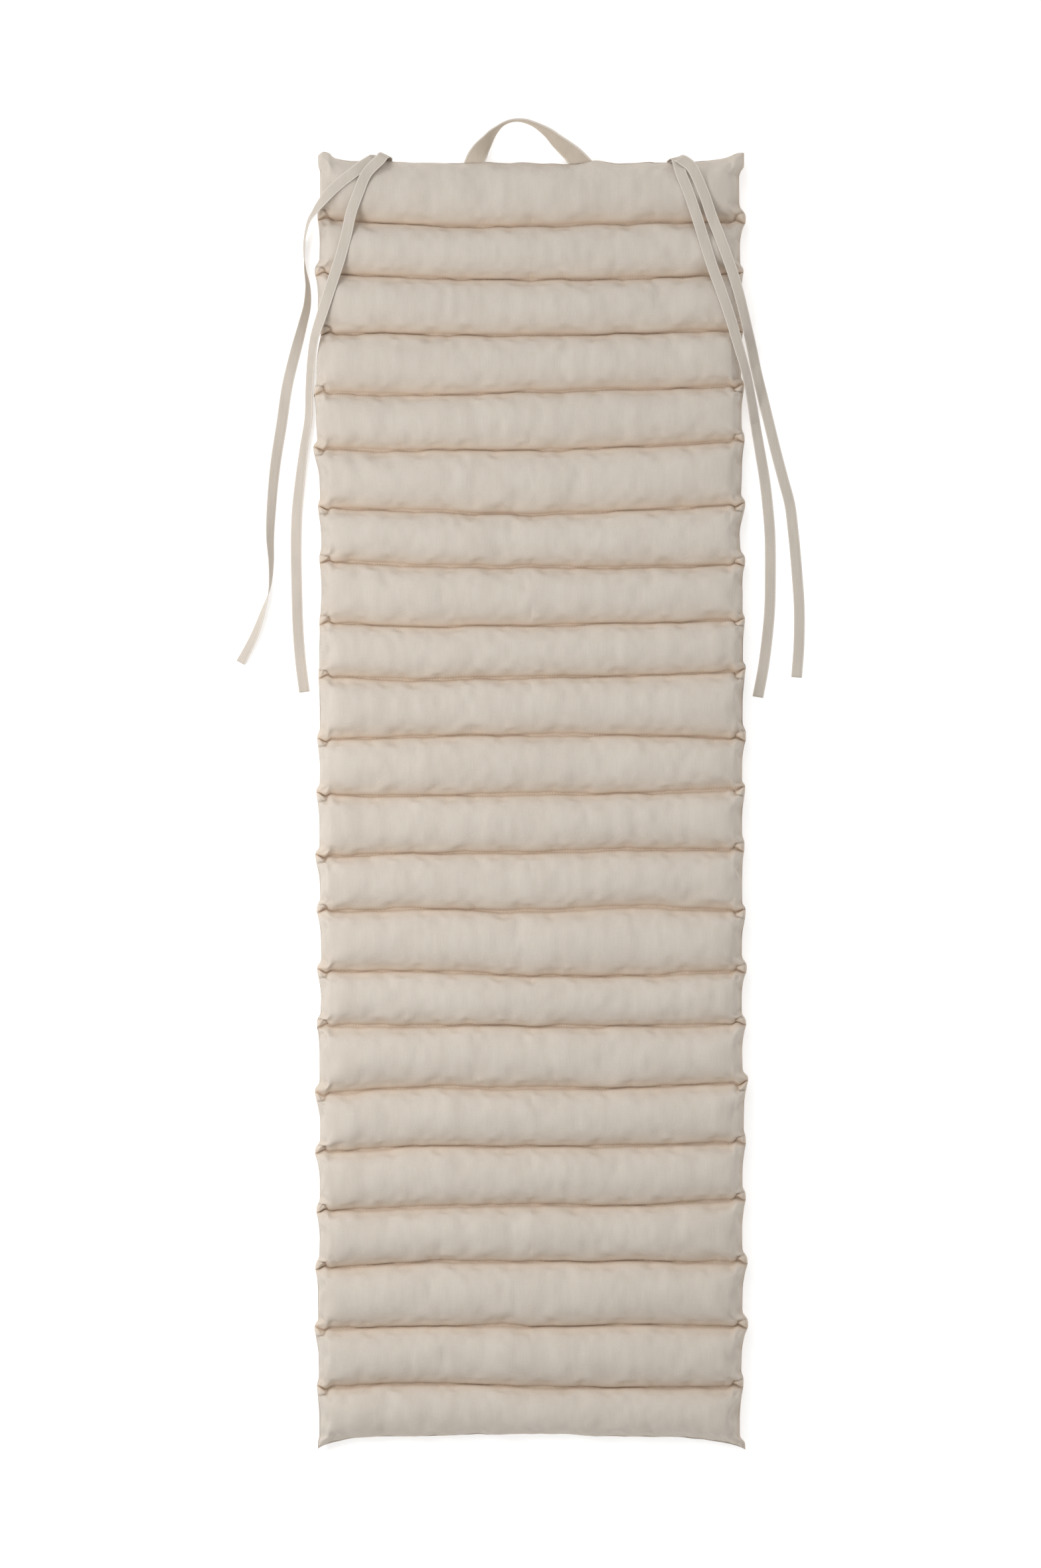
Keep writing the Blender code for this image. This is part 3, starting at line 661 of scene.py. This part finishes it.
# The two pairs of ties. Each starts with a loop out of the head edge and back over it: where it is sewn in,
# its lowest and highest point and its reach in millimetres, the way out that it turns to in degrees towards
# the right, and how far its end is from its start in steps. Rows: x, y, tilt in degrees with the left edge
# up, and extra clearance in millimetres.
ties = {
    "width": 0.0155,
    "thickness": 0.0013,
    "clearance": 0.0009,
    "floorClearance": 0.0001,
    "settleLength": 0.030,
    "bridgeReach": 0.026,
    "finePoints": 1200,
    "spacing": 0.0028,
    "sway": 3.0,  # degrees
    "swayLength": 0.06,
    "swayStart": 0.05,
    "hem": 0.009,  # length of the folded end, its step, extra thickness and pressed-in line
    "hemStep": 0.0005,
    "hemSwell": 0.6,
    "hemLine": 0.5,
    "hemLinePlace": 0.0072,
    "hemLineWidth": 0.0008,
    "loopPoints": 31,
    "roots": (
        ("x", "y", "low", "high", "reach", "turn", "endX", "endY"),
        (582.5, 244.5, 8, 50.5, 8, 26, -6.5, -0.5),
        (578.5, 244.2, 12, 45, 3.5, 44, -17, 1.5),
        (1012.5, 244, 12, 44, 2.6, -12, 5.5, -0.5),
        (1014.5, 244.2, 8, 49.5, 3.2, -34, 9.5, 1),
    ),
    "tieLeftInner": (
        ("x", "y", "tilt", "over"),
        (552.5, 261, 0, 1.5), (539.6, 291, 0, 0.6), (529, 320, 0, 0.3), (521.6, 354), (512.7, 387),
        (502, 420), (492, 451, -8), (482, 481.6, -18), (474, 507, -30), (468.5, 545, -38),
        (465.5, 590, -42), (464.5, 630, -42), (458, 672, -40), (452, 722, -24), (447, 775, -10), (446, 833),
        (447, 892), (449, 951), (453, 1000), (458.5, 1042.5),
    ),
    "tieLeftOuter": (
        ("x", "y", "tilt", "over"),
        (547.5, 248.5), (533.5, 259), (517, 271.5), (501, 285.5, -8), (487.6, 300.6, -28), (475, 317, -50),
        (466, 331, -65), (460.5, 350, -76), (457.8, 380, -84), (459.5, 405, -98), (463.5, 432, -112),
        (462.5, 460, -127), (455.5, 490, -142), (445, 530, -166), (433, 580, -176), (424, 640, -170),
        (414.7, 700, -158), (409, 760, -144), (406.7, 810, -134), (408.2, 850, -115), (405.8, 886, -93),
        (396.5, 920, -64), (382, 960, -42), (362.5, 998.5, -30),
    ),
    "tieRightInner": (
        ("x", "y", "tilt", "over"),
        (1026, 262), (1035, 284), (1047.5, 320), (1060, 360), (1072.5, 400), (1087, 440, 4),
        (1100.5, 480, 10), (1112, 520, 20), (1123.5, 560, 28), (1131.5, 600, 30), (1138, 640, 24),
        (1144.7, 680, 16), (1151.3, 720, 8), (1156, 760), (1159.3, 800), (1160.2, 860), (1159, 920),
        (1155, 965), (1149, 1010), (1141.5, 1050),
    ),
    "tieRightOuter": (
        ("x", "y", "tilt", "over"),
        (1039, 248.5, 0, 2), (1049.5, 266, 0, 2), (1056, 281, 0, 1), (1063.5, 300, 0, 0.3), (1070, 320),
        (1085.5, 360), (1100, 400, 6), (1112.5, 440, 16), (1122.5, 480, 22), (1131.5, 520, 22),
        (1140, 562, 18), (1149.2, 600, 12), (1158.8, 640, 8), (1168.5, 680, 6), (1179, 720, 4),
        (1189.5, 760), (1194.5, 800), (1200, 860), (1203.8, 920), (1203, 975), (1199.7, 1020.5),
    ),
}


def makeStrip(name, path, across, normal, size, material):
    # A flat closed strip: the section at each point of the path, thicker over a hem at its free end.
    section, thick = column(stripSection, "across"), column(stripSection, "thick")
    length = runningLength(path)
    left = length[-1] - length
    swell = np.ones(len(path))
    if "hem" in size:
        swell = swell + size["hemSwell"] * np.clip((size["hem"] - left) / size["hemStep"], 0, 1)
        swell = swell - size["hemLine"] * bell(left - size["hemLinePlace"], size["hemLineWidth"])
    half = across[:, None, :] * (section[None, :, None] * size["width"] / 2)
    rise = normal[:, None, :] * (thick[None, :, None] * swell[:, None, None] * size["thickness"] / 2)
    ring = np.concatenate([path[:, None] + half - rise, (path[:, None] + half + rise)[:, ::-1]], axis=1)
    count = ring.shape[1]
    index = np.arange(len(path) * count).reshape(len(path), count)
    turned = np.concatenate([index, index[:, :1]], axis=1)
    faces = gridFaces(turned).tolist()
    faces += [index[0].tolist(), index[-1][::-1].tolist()]
    item = makeMesh(name, ring.reshape(-1, 3), faces)
    item.data.materials.append(material)
    # The painted highlight along both edges of the strip.
    edge = np.abs(section) > edgeHighlightFrom
    addShares(item, "edge", np.tile(np.append(edge, edge[::-1]), len(path)))
    return item


def makeLoop(root):
    # The start of a tie, out of the head edge and back over it: it winds round a lying oval while the way out
    # turns from straight ahead to its angle, and drifts from its start to its end.
    x, y, low, high, reach, way, endX, endY = root
    low, rise = low / 1000, (high - low) / 2000
    turn = np.linspace(0, np.pi, ties["loopPoints"])
    part = np.clip(turn / np.pi * 2, 0, 1)
    angle = np.radians(way) * part * part * (3 - 2 * part)
    outward = np.column_stack([np.sin(angle), np.cos(angle)])
    drift = np.outer((1 - np.cos(turn)) / 2, (endX, -endY)) * plan["step"]
    flat = np.array(toWorld(x, y)) + outward * (reach / 1000 * np.sin(turn))[:, None] + drift
    points = np.column_stack([flat, low + rise * (1 - np.cos(turn))])
    forward = directions(points)
    axis = np.column_stack([-outward[:, 1], outward[:, 0], np.zeros(len(turn))])
    across = unitRows(axis - forward * (axis * forward).sum(axis=1)[:, None])
    return points, across, np.cross(across, forward)


def slide(values, reach, how):
    # The most, or the mean, of the values within a reach on both sides of each.
    padded = np.pad(values, reach, mode="edge")
    return how(np.lib.stride_tricks.sliding_window_view(padded, 2 * reach + 1), axis=1)


def groundUnder(grid, x, y, tilt, spacing):
    # Highest part of the pad under a tie's width, as a curve that bridges the seams.
    forwardX, forwardY = directions(np.column_stack([x, y])).T
    half = ties["width"] / 2 / plan["step"] * np.abs(np.cos(np.radians(tilt)))
    sideways = [half * share for share in (-1, -0.5, 0, 0.5, 1)]
    ground = np.max([topHeight(grid, x - forwardY * side, y + forwardX * side) for side in sideways], axis=0)
    reach = int(ties["bridgeReach"] / spacing)
    return slide(slide(ground, reach, np.max), reach, np.mean)


def stripFrame(path):
    # Level is square to the plan of the path, and up is square to both.
    forward = directions(path)
    level = unitRows(np.column_stack([forward[:, 1], -forward[:, 0], np.zeros(len(path))]))
    return level, np.cross(level, forward)


def makeTie(number, name, grid, material):
    # A tie: sewn at the head edge, over it, then down across the pad and the ground with its lowest edge
    # clear of whatever is below, with a slight chance sway of its tilt.
    table = ties[name]
    points, across, normal = makeLoop(ties["roots"][1 + number])
    first = (*raised(*points[-1]), 0.0, column(table, "over")[0])
    rows = np.column_stack([np.append(start, column(table, key)) for start, key in zip(first, table[0])])
    knots = runningLength(rows[:, :2] * plan["step"])
    fine = np.linspace(0, knots[-1], ties["finePoints"])
    seenX, seenY, tilt, over = smoothCurve(rows, knots, fine).T
    sway = softNoise(fine / ties["swayLength"], number * 3, 51) * np.clip(fine / ties["swayStart"], 0, 1)
    tilt = tilt + ties["sway"] * sway
    lean = np.radians(tilt)
    stand = np.abs(np.sin(lean)) * ties["width"] / 2 + np.abs(np.cos(lean)) * ties["thickness"] / 2
    share = np.clip(fine / ties["settleLength"], 0, 1)
    settled = share * share * (3 - 2 * share)
    z = np.full(len(fine), pad["crownHeight"])
    for _ in range(3):  # the place seen depends on the height, and the height on the place
        ground = groundUnder(grid, *lowered(seenX, seenY, z), tilt, fine[1])
        free = np.where(ground > 0.001, ties["clearance"], ties["floorClearance"])
        z = points[-1, 2] * (1 - settled) + (ground + stand + over / 1000 + free) * settled
    path = np.column_stack([*toWorld(*lowered(seenX, seenY, z)), z])
    length = runningLength(path)
    wanted = np.linspace(0, length[-1], int(length[-1] / ties["spacing"]))
    path = atLengths(path, length, wanted)
    level, up = stripFrame(path)
    lean = np.radians(np.interp(wanted, length, tilt))[:, None]
    points = np.concatenate([points, path[1:]])
    across = np.concatenate([across, (level * np.cos(lean) + up * np.sin(lean))[1:]])
    normal = np.concatenate([normal, (up * np.cos(lean) - level * np.sin(lean))[1:]])
    return makeStrip(name, points, across, normal, ties, material), points, across, normal


# The carrying handle: x, y, height of its middle in millimetres, twist in degrees with its outer edge up.
handle = {
    "width": 0.028,
    "thickness": 0.0022,
    "cutReach": 0.025,
    "points": 121,
    "rows": (
        ("x", "y", "height", "twist"),
        (713.8, 246.8, 16, 0), (717.5, 237.5, 16, 14), (724.4, 225.2, 16.5, 36), (732.8, 213.4, 17, 57),
        (740.6, 202.6, 17.5, 71), (749, 194.2, 17.8, 83), (757, 187.7, 18, 90), (770, 182.3, 18, 93),
        (782, 181.4, 18, 92.5), (792, 182.9, 18, 89), (804, 187.4, 18, 85.5), (814, 192.9, 18, 79),
        (826.5, 201.3, 17.5, 68), (838.4, 212.3, 17.2, 55), (850.5, 222.5, 17, 43), (861, 231.2, 16.5, 32),
        (876, 246.8, 16, 0),
    ),
}


def makeHandle(material):
    # The handle strap: flat at both roots, where its ends are cut along the head edge, and on its edge over
    # the top.
    rows = np.column_stack([column(handle["rows"], key) for key in handle["rows"][0]])
    knots = runningLength(rows[:, :2] * plan["step"])
    x, y, height, twist = smoothCurve(rows, knots, np.linspace(0, knots[-1], handle["points"])).T
    path = np.column_stack([*toWorld(x, y), height / 1000])
    level, up = stripFrame(path)
    places = runningLength(path)
    weight = np.clip(1 - np.minimum(places, places[-1] - places) / handle["cutReach"], 0, 1)[:, None]
    edge = np.outer(np.sign(level[:, 0]), (1, 0, 0))
    cut = level * (1 - weight) + edge * weight
    cut = cut / (cut * level).sum(axis=1)[:, None]
    angle = -np.radians(twist)[:, None]
    across = cut * np.cos(angle) + up * np.sin(angle)
    normal = unitRows(up * np.cos(angle) - level * np.sin(angle))
    return makeStrip("handleStrap", path, across, normal, handle, material), path, across, normal


# The stitches: pitches and sizes in metres, and their place and lift in shares of a strip's half width and
# thickness.
sewing = {
    "pitch": 0.0036,
    "length": 0.00252,
    "width": 0.0006,
    "aside": 0.80,
    "lift": 0.66,
    "seamStart": 0.024,
    "seamPitch": 0.0037,
    "seamLength": 0.0023,
    "seamWidth": 0.0009,
    "seamLift": 0.0005,
}


def makeStitches(name, centres, forward, up, length, width, material):
    # Small stitches: each is a six-sided bead of two squares between two points, stretched along the seam.
    side = np.cross(forward, up)
    ends = ((-0.5, 0, 0), (-0.3, -1, 0), (-0.3, 0, 1), (-0.3, 1, 0), (-0.3, 0, -1))
    ends += ((0.3, -1, 0), (0.3, 0, 1), (0.3, 1, 0), (0.3, 0, -1), (0.5, 0, 0))
    shape = np.array(ends) * (length, width / 2, width / 2)
    frames = np.stack([forward, side, up], axis=1)
    points = centres[:, None] + np.einsum("vk,nkc->nvc", shape, frames)
    tips = ((0, 1, 2), (0, 2, 3), (0, 3, 4), (0, 4, 1), (9, 6, 5), (9, 7, 6), (9, 8, 7), (9, 5, 8))
    sides = ((1, 5, 6, 2), (2, 6, 7, 3), (3, 7, 8, 4), (4, 8, 5, 1))
    first = np.arange(0, len(centres) * len(shape), len(shape))[:, None, None]
    faces = (first + tips).reshape(-1, 3).tolist() + (first + sides).reshape(-1, 4).tolist()
    item = makeMesh(name, points.reshape(-1, 3), faces)
    item.data.materials.append(material)
    return item


def stripStitches(name, path, across, normal, size, material):
    # Two lines of stitches along a strip, in the pressed-in lines of its upper face.
    length = runningLength(path)
    wanted = np.arange(sewing["pitch"], length[-1] - sewing["pitch"], sewing["pitch"])
    middle, across, normal = (atLengths(rows, length, wanted) for rows in (path, across, normal))
    middle = middle + normal * (size["thickness"] / 2 * sewing["lift"])
    aside = across * (size["width"] / 2 * sewing["aside"])
    centres = np.concatenate([middle - aside, middle + aside])
    forward = np.tile(directions(atLengths(path, length, wanted)), (2, 1))
    up = np.tile(unitRows(normal), (2, 1))
    return makeStitches(name, centres, forward, up, sewing["length"], sewing["width"], material)


def seamStitches(grid, material):
    # Stitches along the floor of each cross seam, a little above it.
    along, _, points = grid
    centres, forward = [], []
    for seam in range(1, channels):
        line = points[np.flatnonzero(np.isclose(along, seam))[0]]
        length = runningLength(line)
        wanted = np.arange(sewing["seamStart"], length[-1] - sewing["seamStart"], sewing["seamPitch"])
        spots = atLengths(line, length, wanted)
        centres.append(spots + (0, 0, sewing["seamLift"]))
        forward.append(directions(spots))
    centres, forward = np.concatenate(centres), np.concatenate(forward)
    side = unitRows(np.cross(forward, (0.0, 0.0, 1.0)))
    size = (sewing["seamLength"], sewing["seamWidth"])
    return makeStitches("seamStitches", centres, forward, np.cross(side, forward), *size, material)


def feed(tree, node, sockets):
    # Gives a node's inputs their wires or values, by name or number.
    for name, value in sockets.items():
        if isinstance(value, Wire):
            tree.links.new(value.socket, node.inputs[name])
        else:
            node.inputs[name].default_value = value


class Wire:
    # A shader socket that takes part in sums and products with others or with plain numbers.
    def __init__(self, tree, socket):
        self.tree, self.socket = tree, socket

    def make(self, kind, settings, sockets, output=0):
        # Any node, from its type, its settings and its inputs by name or number; gives one output.
        node = self.tree.nodes.new(kind)
        for name, value in settings.items():
            setattr(node, name, value)
        feed(self.tree, node, sockets)
        return Wire(self.tree, node.outputs[output])

    def math(self, operation, *values):
        return self.make("ShaderNodeMath", {"operation": operation}, dict(enumerate(values)))

    def __add__(self, other):
        return self.math("ADD", self, other)

    def __radd__(self, other):
        return self.math("ADD", other, self)

    def __sub__(self, other):
        return self.math("SUBTRACT", self, other)

    def __rsub__(self, other):
        return self.math("SUBTRACT", other, self)

    def __mul__(self, other):
        return self.math("MULTIPLY", self, other)

    def __rmul__(self, other):
        return self.math("MULTIPLY", other, self)

    def mixed(self, first, second):
        # A colour between two colours, at this share.
        return self.make("ShaderNodeMix", {"data_type": "RGBA"}, {0: self, 6: first, 7: second}, 2)

    def scaled(self, size):
        # This vector with each part times a number.
        return self.make("ShaderNodeVectorMath", {"operation": "MULTIPLY"}, {0: self, 1: size})


# The undyed cotton cloth: a plain weave with uneven threads. Each cloth has a light and a dark thread.
clothLook = {
    "cover": ((0.640, 0.578, 0.508, 1), (0.585, 0.523, 0.455, 1)),
    "tape": ((0.612, 0.549, 0.478, 1), (0.5508, 0.4941, 0.4302, 1)),
    # The strap is warmer than the tape, its own tone, and darker than it as painted shade for its shaded
    # arms.
    "strap": ((0.600, 0.520, 0.430, 1), (0.540, 0.468, 0.387, 1)),
    "thread": (0.76, 0.69, 0.61, 1),
    # Painted light that a piece's own attributes bring in, and the most of each.
    "paintedLights": {
        # painted warm bounce light beside the seams
        "paintedBounce": ((0.720, 0.575, 0.445, 1), 0.85),
        # painted shade in the closed seams
        "paintedCreaseShade": ((0.250, 0.170, 0.110, 1), 0.72),
        # painted highlight along the strips' edges
        "edge": ((0.780, 0.725, 0.660, 1), 0.7),
    },
    # Chance noises: the size on each axis, the scale, the detail, the share of the tone and of the relief.
    "noises": (
        ((1.0, 0.055, 1.0), 620.0, 2.0, 0.9, 1.2),
        ((0.09, 1.0, 1.0), 700.0, 2.0, 0.5, 0.7),
        ((1.0, 0.3, 1.0), 34.0, 2.0, 1.7, 0.0),
        ((1.0, 0.22, 1.0), 85.0, 1.0, 1.2, 0.0),
    ),
    "threadRoughness": 0.8,
    "finish": {"Roughness": 0.92, "Specular IOR Level": 0.15, "Sheen Weight": 0.08},
    "bumpStrength": 0.35,
    "bumpDistance": 0.0008,
}


def newMaterial(name):
    # A material with its node tree and its shader.
    material = bpy.data.materials.new(name)
    material.use_nodes = True
    return material, material.node_tree, material.node_tree.nodes["Principled BSDF"]


def clothMaterial(name, threads, paintedLights):
    # Colour: a chance mix of both threads by fine and slow noises, then the painted light and shade by the
    # attributes
    # of those names. Relief: the fine noises.
    material, tree, shader = newMaterial(name)
    start = Wire(tree, None)
    place = start.make("ShaderNodeTexCoord", {}, {}, 3)
    tone, relief = 0.5, 0.0
    for size, scale, detail, toneShare, reliefShare in clothLook["noises"]:
        sockets = {"Vector": place.scaled(size), "Scale": scale, "Detail": detail}
        noise = start.make("ShaderNodeTexNoise", {}, sockets)
        tone = tone + (noise - 0.5) * toneShare
        if reliefShare:
            relief = relief + noise * reliefShare
    base = start.make("ShaderNodeClamp", {}, {"Value": tone}).mixed(threads[1], threads[0])
    for paintedLight in paintedLights:
        colour, most = clothLook["paintedLights"][paintedLight]
        base = (start.make("ShaderNodeAttribute", {"attribute_name": paintedLight}, {}, 2) * most).mixed(base, colour)
    sockets = {"Strength": clothLook["bumpStrength"], "Distance": clothLook["bumpDistance"], "Height": relief}
    bump = start.make("ShaderNodeBump", {}, sockets)
    feed(tree, shader, {"Base Color": base, "Normal": bump, **clothLook["finish"]})
    return material


def plainMaterial(name, colour, roughness, glow=0.0):
    # One even colour, with a white glow if one is given.
    material, tree, shader = newMaterial(name)
    glowing = {"Emission Color": (1, 1, 1, 1), "Emission Strength": glow}
    feed(tree, shader, {"Base Color": colour, "Roughness": roughness, **glowing})
    return material


# The pale floor, an even sky, a near light on the left, a far one beyond the head end, and the camera
# straight above.
studio = {
    "floorSize": 30.0,
    "floorColour": (0.94, 0.94, 0.94, 1),
    "floorGlow": 0.38,
    "floorRoughness": 0.9,
    "skyColour": (1.0, 1.0, 1.0, 1),
    "skyStrength": 0.60,
    "lensLength": 85.0,
    "sensorWidth": 36.0,
    "lights": (("key", (-1.25, 0.05, 1.6), 1.0, 16.5), ("side", (-1.5, 6.0, 5.5), 3.5, 115.0)),
}


def makeStudio():
    # Floor, sky, round area lights that face the mattress's middle, and the camera over the plan's middle.
    half = studio["floorSize"] / 2
    corners = [(-half, -half, 0), (half, -half, 0), (half, half, 0), (-half, half, 0)]
    floor = makeMesh("floor", corners, [(0, 1, 2, 3)], smooth=False)
    look = (studio["floorColour"], studio["floorRoughness"], studio["floorGlow"])
    floor.data.materials.append(plainMaterial("floorPaper", *look))
    world = bpy.data.worlds.new("studioSky")
    bpy.context.scene.world = world
    world.use_nodes = True
    sky = world.node_tree.nodes["Background"]
    sky.inputs["Color"].default_value = studio["skyColour"]
    sky.inputs["Strength"].default_value = studio["skyStrength"]
    for name, place, size, power in studio["lights"]:
        data = bpy.data.lights.new(name, "AREA")
        data.shape = "DISK"
        data.size = size
        data.energy = power
        lamp = bpy.data.objects.new(name, data)
        lamp.location = place
        lamp.rotation_euler = Vector(place).to_track_quat("Z", "Y").to_euler()
        bpy.context.scene.collection.objects.link(lamp)
    data = bpy.data.cameras.new("camera")
    data.lens = studio["lensLength"]
    data.sensor_width = studio["sensorWidth"]
    camera = bpy.data.objects.new("camera", data)
    camera.location = (*toWorld(*plan["middle"]), plan["edgeHeight"] + plan["viewHeight"])
    bpy.context.scene.collection.objects.link(camera)
    bpy.context.scene.camera = camera
    bpy.context.scene.view_settings.view_transform = "Standard"
    print("studio made")


def show(item, nodes=()):
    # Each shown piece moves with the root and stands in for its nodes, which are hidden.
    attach(item, "root")
    if nodes:
        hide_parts(*nodes)


coverCloth = clothMaterial("coverCloth", clothLook["cover"], ("paintedBounce", "paintedCreaseShade"))
# The tape and the strap carry a painted highlight along their edges.
tapeCloth = clothMaterial("tapeCloth", clothLook["tape"], ("edge",))
strapCloth = clothMaterial("strapCloth", clothLook["strap"], ("edge",))
thread = plainMaterial("thread", clothLook["thread"], clothLook["threadRoughness"])

padCover, *grid = makePad(coverCloth)
show(padCover, ("mattress",))
print("pad made")

show(seamStitches(grid, thread))
print("seam stitches made")

nodeNames = {
    "tieLeftInner": "tie_left_inner",
    "tieLeftOuter": "tie_left_outer",
    "tieRightInner": "tie_right_inner",
    "tieRightOuter": "tie_right_outer",
}
for number, (name, node) in enumerate(nodeNames.items()):
    tie, *lie = makeTie(number, name, grid, tapeCloth)
    show(tie, (node,))
    stitches = stripStitches(name + "Stitches", *lie, ties, thread)
    show(stitches)

strap, *lie = makeHandle(strapCloth)
show(strap, ("handle",))
stitches = stripStitches("handleStitches", *lie, handle, thread)
show(stitches)

makeStudio()
